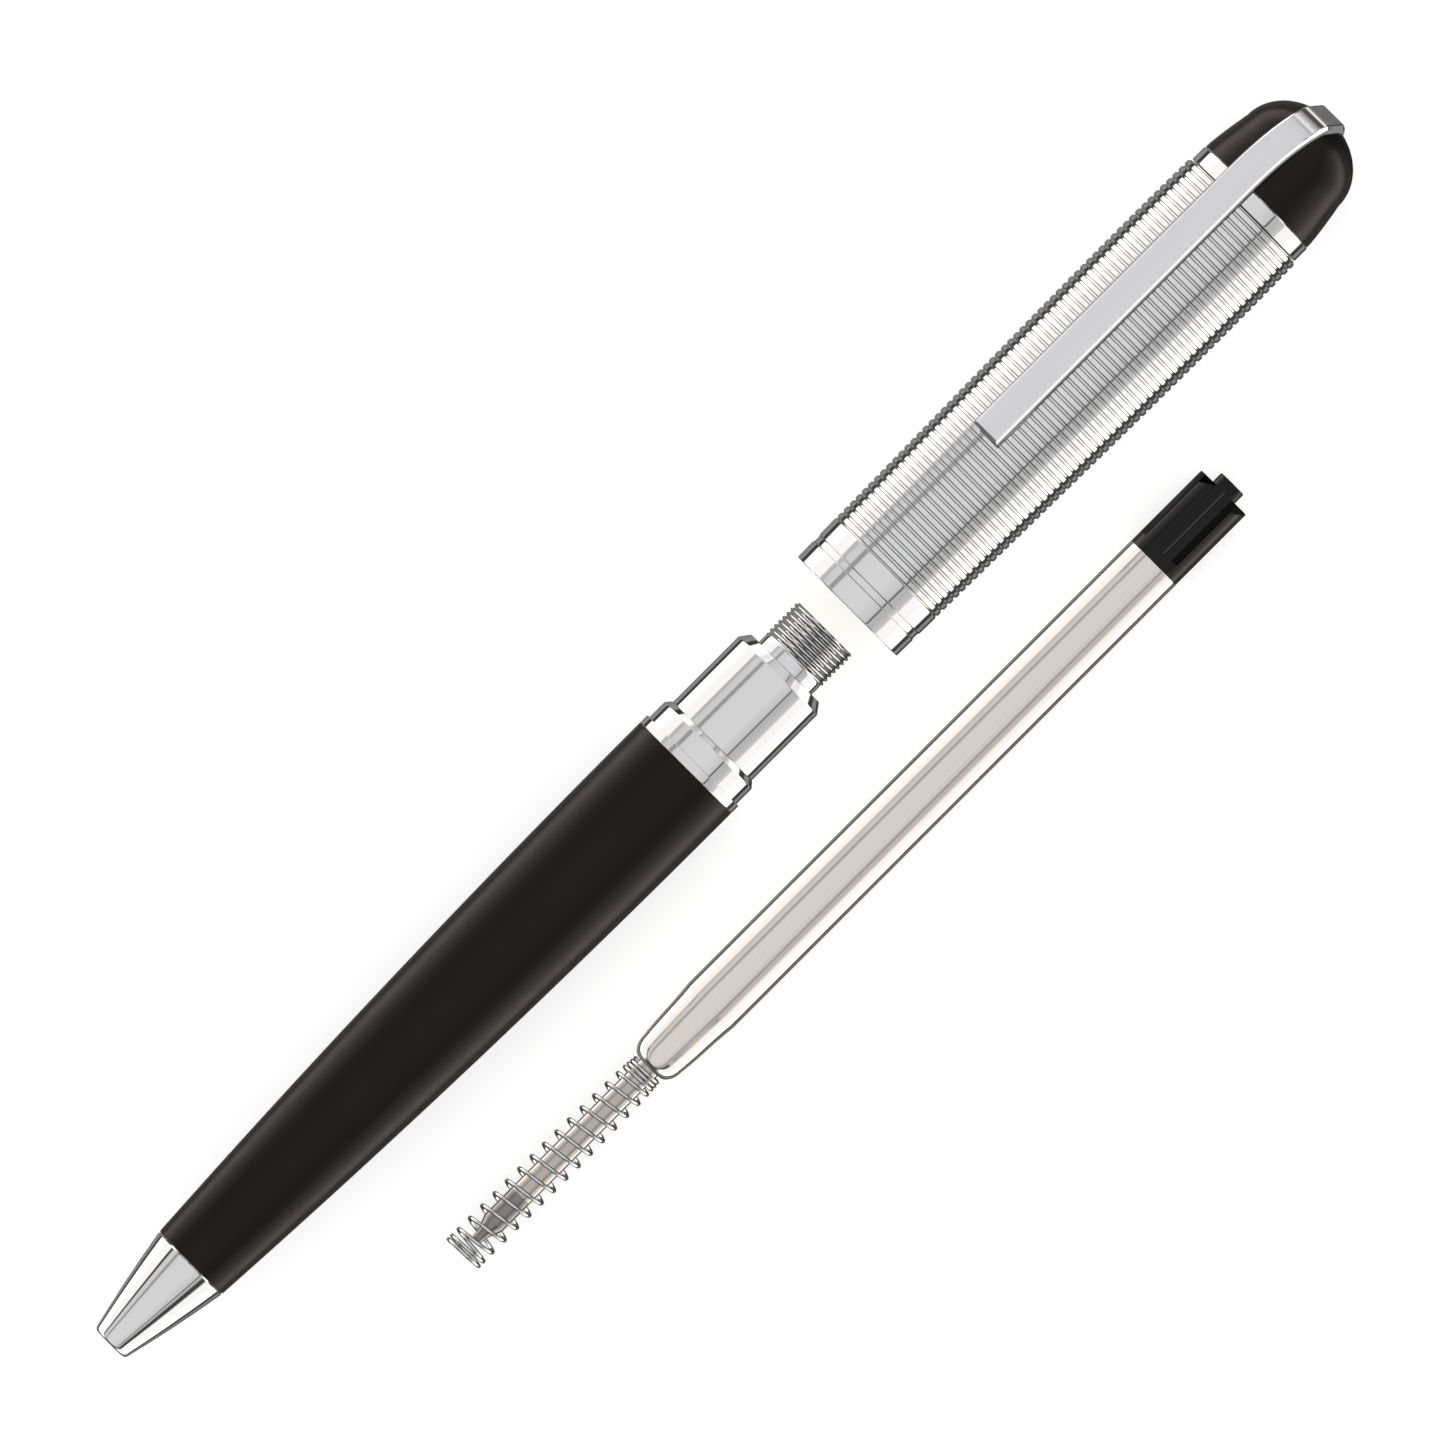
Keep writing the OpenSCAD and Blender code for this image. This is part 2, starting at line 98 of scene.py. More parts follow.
def add(tree, kind, inputs=None, **settings):
    """Adds a shader node. An input takes a value, or another node's output to link to."""
    made = tree.nodes.new("ShaderNode" + kind)
    for name, value in settings.items():
        setattr(made, name, value)
    for key, value in (inputs or {}).items():
        if isinstance(value, bpy.types.NodeSocket):
            tree.links.new(value, made.inputs[key])
        else:
            made.inputs[key].default_value = value
    return made


def math_of(tree, operation, *values):
    """A math node's output."""
    return add(tree, "Math", dict(enumerate(values)), operation=operation).outputs[0]


def fade(tree, value, low, high, at_low=0, at_high=1):
    """Output that goes from at_low to at_high while the value goes from low to high."""
    return add(tree, "MapRange", {
        "Value": value, "From Min": low, "From Max": high, "To Min": at_low, "To Max": at_high}).outputs[0]


def mix(tree, share, base, colour):
    """A base colour's output, mixed with another colour by a share."""
    return add(tree, "Mix", {0: share, 6: base, 7: colour}, data_type="RGBA").outputs[2]


def ramp(tree, factor, stops):
    """A colour ramp's output. The stops are (place, colour or grey)."""
    made = add(tree, "ValToRGB", {"Fac": factor})
    elements = made.color_ramp.elements
    while len(elements) > 1:
        elements.remove(elements[-1])
    for i, (place, colour) in enumerate(stops):
        element = elements[0] if i == 0 else elements.new(place)
        element.position = place
        grey = not isinstance(colour, tuple)
        element.color = (colour, colour, colour, 1) if grey else (*colour, 1)
    return made.outputs["Color"]


BLACK = (0, 0, 0, 1)


def finish(name, colour, metallic, roughness, cells, vary, rough_vary, relief, painted_wall_shade=0, **extra):
    """A finish with a fine and a broad noise, which have the given cells per millimetre along each axis.

    vary is the change of colour, rough_vary the change of roughness, and relief the depth in millimetres.
    painted_wall_shade is how much darker steep walls that face along X are painted, a painted shade in place
    of the shade that they would give each other. Further values go to the shader's own inputs.
    """
    material = bpy.data.materials.new(name)
    material.use_nodes = True
    tree = material.node_tree
    tree.nodes.clear()
    place = add(tree, "TexCoord").outputs["Object"]
    place = add(tree, "Mapping", {"Vector": place, "Scale": [c / MM for c in cells]}).outputs[0]
    fine = add(tree, "TexNoise", {"Vector": place, "Scale": 1, "Detail": 3, "Roughness": 0.6}).outputs[0]
    broad = add(tree, "TexNoise", {"Vector": place, "Scale": 0.13, "Detail": 2}).outputs[0]
    darker = tuple(c * (1 - vary) for c in colour)
    lighter = tuple(min(c * (1 + vary), 1) for c in colour)
    tone = ramp(tree, broad, [(0.3, darker), (0.7, lighter)])
    # Painted shade: steep walls that face along X are darkened towards black, in place of the shade that
    # neighbouring walls give each other
    if painted_wall_shade:
        along = add(tree, "SeparateXYZ", {"Vector": add(tree, "TexCoord").outputs["Normal"]}).outputs[0]
        steep = fade(tree, math_of(tree, "ABSOLUTE", along), 0.35, 0.75, 0, painted_wall_shade)
        tone = mix(tree, steep, tone, BLACK)
    rough = fade(tree, fine, 0.3, 0.7, max(roughness - rough_vary, 0), roughness + rough_vary)
    bump = add(tree, "Bump", {"Height": fine, "Distance": relief * MM, "Strength": 1})
    shader = add(tree, "BsdfPrincipled", {
        "Base Color": tone, "Metallic": metallic, "Roughness": rough, "Normal": bump.outputs[0], **extra})
    add(tree, "OutputMaterial", {"Surface": shader.outputs[0]})
    return material


FINISHES = {
    "chrome": finish(
        "chrome", (0.93, 0.93, 0.94), 1, 0.03, (0.6, 2, 2), 0.015, 0.01, 0.00003),
    # Chrome with painted shade darkening the steep walls of the rear barrel's ribs
    "wall_shaded_chrome": finish(
        "wall_shaded_chrome", (0.93, 0.93, 0.94), 1, 0.03, (0.6, 2, 2), 0.015, 0.01, 0.00003, painted_wall_shade=0.7),
    "black_lacquer": finish(
        "black_lacquer", (0.001, 0.0013, 0.002), 0, 0.33, (0.8, 0.8, 0.8), 0.3, 0.03, 0.0004,
        **{"Specular IOR Level": 0.3, "Specular Tint": (1, 0.89, 0.82, 1)}),
    "black_cap": finish(
        "black_cap", (0.0014, 0.0013, 0.0014), 0, 0.3, (1, 1, 1), 0.3, 0.03, 0.0004,
        **{"Specular IOR Level": 0.3, "Specular Tint": (1, 0.89, 0.84, 1)}),
    "clip_steel": finish(
        "clip_steel", (0.96, 0.96, 0.98), 1, 0.07, (0.3, 6, 6), 0.02, 0.02, 0.00004),
    "steel": finish(
        "steel", (0.84, 0.84, 0.86), 1, 0.09, (6, 1, 1), 0.04, 0.03, 0.0001),
    # Steel with a little painted shade darkening the thread's steep flanks
    "thread_steel": finish(
        "thread_steel", (0.93, 0.93, 0.95), 1, 0.06, (6, 1, 1), 0.04, 0.03, 0.0001, painted_wall_shade=0.1),
    "brass": finish(
        "brass", (0.80, 0.60, 0.27), 1, 0.2, (8, 0.6, 0.6), 0.06, 0.05, 0.0003),
    # The brass that shows as a line beside the cap ring, painted dark with the shade it lies in
    "shade_painted_brass": finish(
        "shade_painted_brass", (0.035, 0.024, 0.009), 1, 0.4, (8, 0.6, 0.6), 0.15, 0.05, 0.0003),
    # Steel with painted shade darkening the sides of the coil's wire, which face the neighbouring turns
    "spring_steel": finish(
        "spring_steel", (0.78, 0.78, 0.79), 1, 0.09, (4, 4, 4), 0.05, 0.05, 0.0002, painted_wall_shade=0.9),
    "refill_metal": finish(
        "refill_metal", (0.95, 0.90, 0.845), 1, 0.13, (0.15, 5, 5), 0.03, 0.04, 0.0001),
    "neck_metal": finish(
        "neck_metal", (0.62, 0.575, 0.54), 1, 0.13, (0.15, 5, 5), 0.03, 0.04, 0.0001),
    "nickel_silver": finish(
        "nickel_silver", (0.31, 0.285, 0.27), 1, 0.17, (7, 1, 1), 0.06, 0.05, 0.0003),
    "carbide": finish(
        "carbide", (0.5, 0.5, 0.52), 1, 0.15, (9, 9, 9), 0.05, 0.04, 0.0001),
    "black_plastic": finish(
        "black_plastic", (0.0015, 0.0015, 0.002), 0, 0.24, (7, 7, 7), 0.2, 0.04, 0.0005,
        **{"Specular IOR Level": 0.3}),
    # Near-black plastic with almost no gloss, painted shade for the walls inside the plug's flutes
    "shade_painted_plastic": finish(
        "shade_painted_plastic", (0.0005, 0.0005, 0.0006), 0, 0.5, (7, 7, 7), 0.2, 0.05, 0.0005,
        **{"Specular IOR Level": 0.02}),
    "ivory_plastic": finish(
        "ivory_plastic", (0.75, 0.71, 0.60), 0, 0.4, (5, 5, 5), 0.04, 0.05, 0.0008),
    "ink": finish(
        "ink", (0.01, 0.012, 0.05), 0, 0.2, (2, 2, 2), 0.2, 0.05, 0.0003),
}


# ---- Meshes ----


def rounded(corners, steps=5):
    """Outline through corners of (x, radius, fillet).

    A fillet turns its corner into a curve with a support point beside each end, which keeps the straight
    stretches straight under smooth shading.
    """
    beside = 1.35
    points = []
    count = len(corners)
    for i, (x, r, fillet) in enumerate(corners):
        here = Vector((x, r))
        if not fillet:
            points.append(here)
            continue
        back = (Vector(corners[i - 1][:2]) - here).normalized() * fillet
        ahead = (Vector(corners[(i + 1) % count][:2]) - here).normalized() * fillet
        points.append(here + back * beside)
        for k in range(steps + 1):
            t = k / steps
            points.append(here + back * (1 - t) ** 2 + ahead * t ** 2)
        points.append(here + ahead * beside)
    return [tuple(p) for p in points]


def mesh_piece(name, points, faces, sharp=30):
    """A mesh object from points in millimetres, smooth but for edges sharper than the given angle."""
    mesh = bpy.data.meshes.new(name)
    mesh.from_pydata([Vector(p) * MM for p in points], [], faces)
    work = bmesh.new()
    work.from_mesh(mesh)
    bmesh.ops.recalc_face_normals(work, faces=work.faces)
    work.to_mesh(mesh)
    work.free()
    mesh.shade_smooth()
    mesh.set_sharp_from_angle(angle=math.radians(sharp))
    made = bpy.data.objects.new(name, mesh)
    bpy.context.scene.collection.objects.link(made)
    return made


def lathe(name, outline, axis, count=160, shape=None, sharp=30):
    """Turns a closed outline of (x, radius) points about an axis along X.

    The angle starts at the top and goes towards +Y. shape, if given, returns a point's (x, radius) from its
    x, radius and angle.
    """
    y, z = axis
    points, rings = [], []
    for x, r in outline:
        if r < 1e-6:
            rings.append([len(points)] * count)
            points.append((x, y, z))
            continue
        rings.append(list(range(len(points), len(points) + count)))
        for k in range(count):
            angle = math.tau * k / count
            at, out = shape(x, r, angle) if shape else (x, r)
            points.append((at, y + out * math.sin(angle), z + out * math.cos(angle)))
    faces = []
    for near, far in zip(rings, rings[1:] + rings[:1]):
        for k in range(count):
            after = (k + 1) % count
            face = list(dict.fromkeys((near[k], near[after], far[after], far[k])))
            if len(face) > 2:
                faces.append(face)
    return mesh_piece(name, points, faces, sharp)


def cut(made, *cutters, sharp=30):
    """Takes the cutters' solids out of a piece, and removes them."""
    for cutter in cutters:
        modifier = made.modifiers.new("cut", "BOOLEAN")
        modifier.operation = "DIFFERENCE"
        modifier.solver = "EXACT"
        modifier.object = cutter
    bake_modifiers(made, sharp)
    for cutter in cutters:
        bpy.data.objects.remove(cutter)


def bake_modifiers(made, sharp=30):
    """Replaces a piece's mesh with what its modifiers make of it."""
    graph = bpy.context.evaluated_depsgraph_get()
    mesh = bpy.data.meshes.new_from_object(made.evaluated_get(graph))
    made.modifiers.clear()
    made.data = mesh
    mesh.shade_smooth()
    mesh.set_sharp_from_angle(angle=math.radians(sharp))


def place(made, slot, body, *nodes, look=None, mirrored=False):
    """Gives a piece its finish, the slot's own unless look names another, and ties it to the frame.

    Only a mirrored piece shows in the others' reflections.
    """
    made.visible_glossy = mirrored
    made.data.materials.clear()
    made.data.materials.append(FINISHES[look or slot])
    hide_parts(*nodes)
    if body:
        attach(made, body)
    return made


# ---- Front barrel ----

NOSE_BASE_R = 4.05
NOSE_TIP_R = 2.0
NOSE_SPIGOT_R = 3.4
TIP_BORE_R = 1.25
CHAMBER_R = 2.2
CHAMBER_X = NOSE_X + 3.7
FRONT_R = 5.88
LINER_R = 3.8
SPIGOT_R = 4.4
BAND_X = FLANGE_X + 0.95
BAND_R = 5.62
SLEEVE_R = 5.08
BUSH_R = 3.41
BUSH_BORE_R = 3.0


def front_profile(d):
    """Radius of the front barrel at distance d from its front end."""
    return FRONT_R - (FRONT_R - NOSE_BASE_R) * (1 - d / (FLANGE_X - FRONT_X)) ** 2.1


def nose_cone():
    edge = 0.45
    edge_drop = 0.09
    rim = 0.17
    rim_drop = 0.02
    bulge = 0.1
    steps = 24
    cone = []
    for i in range(steps + 1):
        t = i / steps
        r = NOSE_TIP_R + (NOSE_BASE_R - NOSE_TIP_R) * t + bulge * 4 * t * (1 - t)
        cone.append((NOSE_X + edge + (FRONT_X - NOSE_X - edge) * t, r, 0))
    # The front edge is rounded, and the rear one has a small chamfer
    cone[0] = (NOSE_X, NOSE_TIP_R - edge_drop, 0.42)
    cone[-1] = (FRONT_X - rim, NOSE_BASE_R - rim_drop, 0.03)
    chamfer_r = NOSE_BASE_R - rim - rim_drop
    corners = [(NOSE_X, TIP_BORE_R, 0.06), *cone, (FRONT_X, chamfer_r, 0.03), (FRONT_X, NOSE_SPIGOT_R, 0),
               (NOSE_SPIGOT_X, NOSE_SPIGOT_R, 0), (NOSE_SPIGOT_X, CHAMBER_R, 0), (CHAMBER_X, CHAMBER_R, 0),
               (CHAMBER_X, TIP_BORE_R, 0)]
    place(lathe("nose_shell", rounded(corners, 7), PEN), "chrome", "front_section", "nose_cone")


def front_barrel():
    steps = 60
    length = FLANGE_X - FRONT_X
    wall = [(FRONT_X + length * i / steps, front_profile(length * i / steps), 0) for i in range(steps + 1)]
    wall[0] = (*wall[0][:2], 0.1)
    wall[-1] = (*wall[-1][:2], 0.05)
    step_x = NOSE_SPIGOT_X + 0.2
    corners = [(FRONT_X, NOSE_SPIGOT_R, 0), *wall, (FLANGE_X, SPIGOT_R, 0), (SPIGOT_X, SPIGOT_R, 0),
               (SPIGOT_X, LINER_R, 0), (step_x, LINER_R, 0), (step_x, NOSE_SPIGOT_R, 0)]
    place(lathe("front_tube", rounded(corners, 4), PEN), "black_lacquer", "front_section", "front_barrel")


def trim_ring():
    chamfer_x = SLEEVE_X - 0.56
    chamfer_r = SLEEVE_R + 0.06
    corners = [(FLANGE_X, SPIGOT_R, 0), (FLANGE_X, FRONT_R, 0.1), (BAND_X, FRONT_R, 0.1),
               (BAND_X, BAND_R, 0), (chamfer_x, BAND_R, 0.07), (SLEEVE_X, chamfer_r, 0.05),
               (SLEEVE_X, SPIGOT_R, 0)]
    place(lathe("trim_band", rounded(corners), PEN), "chrome", "front_section", "trim_ring")


def turning_sleeve():
    chamfer_x = NECK_X - 0.95
    chamfer_r = 4.36
    corners = [(SPIGOT_X, BUSH_R, 0), (SPIGOT_X, SPIGOT_R, 0), (SLEEVE_X, SPIGOT_R, 0),
               (SLEEVE_X, SLEEVE_R, 0.06), (chamfer_x, SLEEVE_R, 0.08), (NECK_X, chamfer_r, 0.07),
               (NECK_X, BUSH_R, 0)]
    place(lathe("turning_tube", rounded(corners), PEN), "chrome", "front_section", "turning_sleeve")


def threaded_bush():
    start = NECK_X + 0.95
    pitch = 0.53
    crest = 3.55
    depth = 0.27
    # Slope of the thread's flanks, and how far its crests and roots are flattened, as shares of its depth
    flank, flat = 2.3, 1.12
    run_out = 0.35
    end_chamfer = 0.22
    per_pitch = 14
    rings = round((THREAD_END_X - start) / pitch * per_pitch)
    wall_end = THREAD_END_X - 0.005
    wall_bottom = BUSH_R - 0.2

    def thread(x, r, angle):
        """Helical thread on the outside, which runs out towards the neck and is chamfered at the end."""
        if r < wall_bottom or x < start or x > wall_end:
            return x, r
        phase = ((x - start) / pitch + angle / math.tau) % 1
        height = min(max(flat - abs(phase - 0.5) * flank, 0), 1)
        share = min((x - start) / run_out, 1)
        out = BUSH_R * (1 - share) + (crest - depth + depth * height) * share
        return x, min(out, crest - end_chamfer + (THREAD_END_X - x))

    wall = [(start + (THREAD_END_X - start) * i / rings, BUSH_R, 0) for i in range(rings + 1)]
    lip_r = crest - end_chamfer
    corners = [(SPIGOT_X, BUSH_BORE_R, 0), (SPIGOT_X, BUSH_R, 0), (start - 0.02, BUSH_R, 0), *wall,
               (THREAD_END_X, lip_r - 0.1, 0), (THREAD_END_X, BUSH_BORE_R, 0.09)]
    made = lathe("thread_bush", rounded(corners), PEN, shape=thread, sharp=50)
    place(made, "steel", "front_section", "threaded_bush", look="thread_steel")


# ---- Rear barrel ----

REAR_R = 6.39
REAR_BORE_R = 5.75
LINER_BORE_R = 5.15
PLAIN_LEN = 5.05
RIBS = 58
RIB_DEPTH = 0.17
RING_R = 6.6
DOME_R = RING_R - 0.06
DOME_NOSE_LEN = 5.0
DOME_NOSE_R = 5.9
SCREW_R = 1.5


def rear_profile(d):
    """Radius of the rear barrel's ribs at distance d from its open end."""
    return REAR_R + 0.0152 * d - 0.345 * (d / (REAR_END_X - REAR_X)) ** 6


def rear_barrel():
    crimp, crimp_end, crimp_depth = 2.05, 2.87, 0.1
    pitch = (REAR_END_X - REAR_X - PLAIN_LEN) / RIBS
    # How far from a rib's middle, as a share of the pitch, and how far down the surface is there, as a share
    # of the rib's depth
    half_rib = ((0, 0), (0.24, 0.01), (0.28, 0.05), (0.295, 0.13), (0.375, 0.88), (0.39, 0.97), (0.42, 1))
    rib_line = [(0.5 - share, drop) for share, drop in reversed(half_rib)]
    rib_line += [(0.5 + share, drop) for share, drop in half_rib[1:]]
    bottom = crimp_end + crimp
    corners = [(REAR_X, REAR_BORE_R, 0.05), (REAR_X, rear_profile(0), 0.07),
               (REAR_X + crimp, rear_profile(crimp), 0.05),
               (REAR_X + crimp + 0.09, rear_profile(crimp) - crimp_depth, 0.05),
               (REAR_X + bottom / 2, rear_profile(bottom / 2) - crimp_depth, 0),
               (REAR_X + crimp_end - 0.09, rear_profile(crimp_end) - crimp_depth, 0.05),
               (REAR_X + crimp_end, rear_profile(crimp_end), 0.05),
               (REAR_X + PLAIN_LEN - 0.1, rear_profile(PLAIN_LEN), 0.06)]
    for rib in range(RIBS):
        start = PLAIN_LEN + rib * pitch
        top = rear_profile(start + pitch / 2)
        corners += [(REAR_X + start + share * pitch, top - RIB_DEPTH * drop, 0) for share, drop in rib_line]
    corners += [(REAR_END_X, rear_profile(REAR_END_X - REAR_X) - RIB_DEPTH, 0), (REAR_END_X, REAR_BORE_R, 0)]
    made = lathe("ribbed_barrel", rounded(corners, 4), PEN, sharp=60)
    place(made, "chrome", "rear_section", "rear_barrel", look="wall_shaded_chrome")


def rear_inner_parts():
    guide = [(GUIDE_X, LINER_BORE_R, 0.08), (GUIDE_X, REAR_BORE_R, 0.06), (GUIDE_END_X, REAR_BORE_R, 0),
             (GUIDE_END_X, LINER_BORE_R, 0)]
    place(lathe("guide_ring", rounded(guide), PEN), "brass", "rear_section", "guide_bush")
    liner = [(LINER_X, LINER_BORE_R), (LINER_X, REAR_BORE_R), (RING_X, REAR_BORE_R), (RING_X, LINER_BORE_R)]
    # The liner shows only in a narrow gap, so its brass is painted dark with the shade there
    place(lathe("liner_tube", liner, PEN), "brass", "rear_section", "rear_liner", look="shade_painted_brass")


def cap_ring():
    rim = 0.16
    corners = [(RING_X, SCREW_R, 0), (RING_X, RING_R, 0.1), (DOME_X - rim, RING_R, 0.04),
               (DOME_X, RING_R - rim, 0.04), (DOME_X, SCREW_R, 0)]
    place(lathe("cap_band", rounded(corners), PEN), "chrome", "rear_section", "cap_ring")


def finial():
    taper_len = DOME_END_X - DOME_X - DOME_NOSE_LEN
    taper_steps, round_steps = 12, 32
    wall = []
    for i in range(taper_steps + 1):
        t = i / taper_steps
        wall.append((DOME_X + taper_len * t, DOME_R + (DOME_NOSE_R - DOME_R) * t ** 1.35, 0))
    wall[0] = (*wall[0][:2], 0.1)
    for i in range(1, round_steps + 1):
        a = math.pi / 2 * i / round_steps
        wall.append((DOME_X + taper_len + DOME_NOSE_LEN * math.sin(a), DOME_NOSE_R * math.cos(a), 0))
    wall[-1] = (DOME_END_X, 0, 0)
    screw_x = DOME_X + 6.5
    outline = rounded([(DOME_X, SCREW_R, 0), *wall], 4) + [(screw_x, 0), (screw_x, SCREW_R)]
    made = lathe("dome", outline, PEN, count=192)
    cut(made, clip_strip("groove", -CLIP_SLACK, CLIP_T + CLIP_SLACK, CLIP_W / 2 + CLIP_SLACK, CLIP_SLACK))
    place(made, "black_cap", "rear_section", "finial")


# ---- Clip ----

CLIP_ANGLE = math.radians(16.5)
CLIP_W = 3.1
CLIP_T = 0.9
CLIP_SLACK = 0.12
BEND_X = 69.0
BEND_A = 10.7
BEND_B = 8.3
CREASE = 33.4
FOOT_X = CLIP_X + 2.8
FOOT_HALF = 2.1
FOOT_GAP = 0.05


def clip_string(depth, start, end_r, foot=False):
    """Line along the clip at a depth below its outer face, as (x, distance from the pen's axis)."""
    steps = 26
    corners = []
    # Close points over the foot, then a few up to the bend
    straight = [start + 0.35 * i for i in range(16)] + [start + 8 + 5 * i for i in range(5)]
    foot_end = rear_profile(FOOT_X - REAR_X) + FOOT_GAP
    foot_h = BEND_B - CLIP_T - foot_end
    foot_r = (FOOT_HALF ** 2 + foot_h ** 2) / (2 * foot_h)
    for x in straight:
        r = BEND_B - depth
        if foot and abs(x - FOOT_X) < FOOT_HALF:
            r = foot_end + foot_r - math.sqrt(foot_r ** 2 - (x - FOOT_X) ** 2)
        corners.append((x, r, 0))
    for i in range(steps + 1):
        a = math.radians(90 + (CREASE - 90) * i / steps)
        corners.append((BEND_X + (BEND_A - depth) * math.cos(a), (BEND_B - depth) * math.sin(a), 0))
    # The crease is a narrow facet, and past it the clip goes down over the dome's end
    x, r = corners[-1][:2]
    corners[-1] = (x - 0.03, r + 0.02, 0.02)
    corners.append((x + 0.09, r - 0.16, 0.03))
    for inset, r in ((0.03, 1.3), (0, 0.9), (0.07, 0.2), (0.3, end_r)):
        corners.append((CLIP_END_X - inset - depth, r, 0))
    return rounded(corners)


def clip_strip(name, top, bottom, half_w, extra=0, edge=((0, 0),), foot=False):
    """Strip of the clip's shape between two depths, set round the pen at the clip's angle.

    edge is the section of its rounded top edges, from the top down: (distance in from the side, depth).
    """
    start = CLIP_X - extra
    end_r = -0.55 - 2.5 * extra
    strings = [(inset - half_w, top + depth, start + inset, False) for inset, depth in reversed(edge)]
    strings += [(half_w - inset, top + depth, start + inset, False) for inset, depth in edge]
    strings += [(half_w, bottom, start, foot), (-half_w, bottom, start, foot)]
    points, lines = [], []
    for across, depth, x0, with_foot in strings:
        line = clip_string(depth, x0, end_r, foot=with_foot)
        lines.append(range(len(points), len(points) + len(line)))
        for x, r in line:
            points.append((x, PEN[0] + r * math.sin(CLIP_ANGLE) + across * math.cos(CLIP_ANGLE),
                           PEN[1] + r * math.cos(CLIP_ANGLE) - across * math.sin(CLIP_ANGLE)))
    faces = [[line[0] for line in lines], [line[-1] for line in lines]]
    for one, other in zip(lines, lines[1:] + lines[:1]):
        faces += [(one[i], one[i + 1], other[i + 1], other[i]) for i in range(len(one) - 1)]
    return mesh_piece(name, points, faces, 25)


def clip():
    # The rounded top edges, as (distance in from the side, depth)
    edge = ((0.28, 0), (0.17, 0.06), (0, 0.34))
    made = clip_strip("clip_blade", 0, CLIP_T, CLIP_W / 2, edge=edge, foot=True)
    place(made, "clip_steel", "clip", "clip", mirrored=True)


# ---- Refill ----

REFILL_R = 2.9
REFILL_WALL = 0.28
SHOULDER_R = 2.42
TUBE_R = 1.13
TUBE_BORE_R = 0.75
PLUG_R = 2.88
NUB_R = 1.43
NUB_X = PLUG_END_X - 1.15


def refill_body():
    taper_len, round_len = 6.3, 1.75
    taper_x = SHOULDER_X + round_len + taper_len
    corners = [(SHOULDER_X, TUBE_R, 0)]
    steps = 20
    base = TUBE_R + 0.12
    for i in range(steps + 1):
        a = math.pi / 2 * i / steps
        x = SHOULDER_X + 0.05 + round_len * (1 - math.cos(a))
        corners.append((x, base + (SHOULDER_R - base) * math.sin(a), 0))
    # Along the taper the radius follows a soft wave
    taper_steps = 12
    for i in range(1, taper_steps + 1):
        t = i / taper_steps
        soft = t + 0.06 * math.sin(math.tau * t)
        corners.append((taper_x - taper_len * (1 - t), SHOULDER_R + (REFILL_R - SHOULDER_R) * soft, 0))
    corners += [(taper_x + 1, REFILL_R, 0), (PLUG_X, REFILL_R, 0.05), (PLUG_X, REFILL_R - REFILL_WALL, 0),
                (taper_x, REFILL_R - REFILL_WALL, 0),
                (SHOULDER_X + round_len + 1, SHOULDER_R - REFILL_WALL, 0),
                (SHOULDER_X + round_len + 0.2, TUBE_R, 0)]
    place(lathe("refill_tube", rounded(corners), REFILL, count=128), "refill_metal", "refill", "refill_body")


def refill_front():
    neck = [(POINT_X, TUBE_BORE_R, 0), (POINT_X, TUBE_R, 0.05), (SHOULDER_X + 2, TUBE_R, 0),
            (SHOULDER_X + 2, TUBE_BORE_R, 0)]
    made = lathe("neck_tube", rounded(neck), REFILL, count=96)
    place(made, "refill_metal", "refill", "refill_neck", look="neck_metal")

    ball = (BALL_X + BALL_END_X) / 2
    socket_r = (BALL_END_X - BALL_X) / 2 + 0.02
    channel_r = 0.2
    lip = math.radians(118)
    seat = math.asin(channel_r / socket_r)
    steps = 14
    corners = [(ball - 0.06, 0.5, 0.03), (ball + 0.65, 0.58, 0.05), (ball + 2.05, TUBE_R, 0.12),
               (POINT_X - 0.01, TUBE_R, 0.05), (POINT_X - 0.01, TUBE_BORE_R, 0),
               (POINT_X + 3, TUBE_BORE_R, 0), (POINT_X + 3, channel_r, 0)]
    for i in range(steps + 1):
        a = seat + (lip - seat) * i / steps
        corners.append((ball + socket_r * math.cos(a), socket_r * math.sin(a), 0))
    holder = lathe("point_cone", rounded(corners), REFILL, count=96)
    place(holder, "nickel_silver", "refill", "point_holder")

    ball_r = socket_r - 0.02
    turns = [math.pi * i / 24 for i in range(25)]
    sphere = [(ball - ball_r * math.cos(a), ball_r * math.sin(a)) for a in turns]
    place(lathe("ball", sphere, REFILL, count=48), "carbide", "writing_ball", "writing_ball")


def prism(name, points, low, high, turn, along_x):
    """Solid of an outline, turned round the refill's axis.

    along_x: an outline of (y, z) drawn out along X. Otherwise an outline of (x, y) drawn out along Z.
    """
    rows = []
    for level in (low, high):
        for a, b in points:
            x, y, z = (level, a, b) if along_x else (a, b, level)
            rows.append((x, REFILL[0] + y * math.cos(turn) - z * math.sin(turn),
                         REFILL[1] + y * math.sin(turn) + z * math.cos(turn)))
    n = len(points)
    faces = [list(range(n)), list(range(2 * n - 1, n - 1, -1))]
    faces += [(i, (i + 1) % n, n + (i + 1) % n, n + i) for i in range(n)]
    return mesh_piece(name, rows, faces)


def paint_flute_shade(made):
    """Paints shade on the steep walls inside the plug's flutes, which lie in each other's shade: they take a
    darker, less glossy black.
    """
    skin = 0.15
    facing_out = 0.93
    facing_along = 0.3
    made.data.materials.append(FINISHES["shade_painted_plastic"])
    for face in made.data.polygons:
        y = face.center.y / MM - REFILL[0]
        z = face.center.z / MM - REFILL[1]
        r = math.hypot(y, z)
        outward = (face.normal.y * y + face.normal.z * z) / max(r, skin)
        if r < PLUG_R - skin and abs(face.normal.x) < facing_along and outward < facing_out:
            face.material_index = 1


